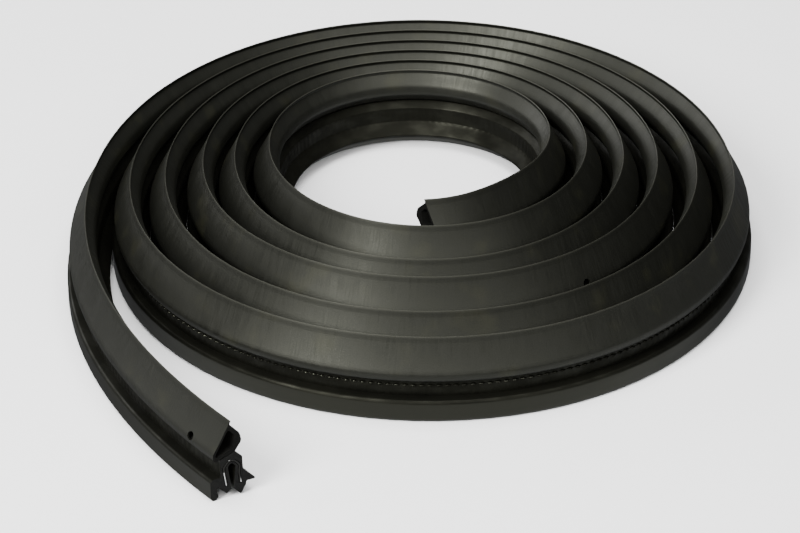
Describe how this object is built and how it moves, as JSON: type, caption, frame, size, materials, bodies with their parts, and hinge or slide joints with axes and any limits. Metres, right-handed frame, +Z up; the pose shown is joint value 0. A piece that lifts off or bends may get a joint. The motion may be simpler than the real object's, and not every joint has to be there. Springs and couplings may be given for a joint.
{
  "type": "car door seal",
  "caption": "Clamp-on door seal strip wound into a flat spiral coil: hollow sponge bulb on a rubber channel with a buried steel carrier, cover flap and lip.",
  "frame": {"origin": "middle of the coil's box in plan, on the floor that the strip lies on", "axes": "+Z up from the floor towards the bulb's ridge, -Y towards the side where the coil's loose ends lie, +X to the right seen from that side"},
  "size_m": [0.283, 0.3436, 0.034],
  "materials": {
    "sponge_rubber": "matt black sponge rubber skin with fine striations",
    "dense_rubber": "satin black dense rubber",
    "carrier_steel": "bare rolled steel strip"
  },
  "bodies": {
    "root": {"bulb": "sponge_rubber", "channel": "dense_rubber", "carrier": "carrier_steel"}
  },
  "joints": []
}
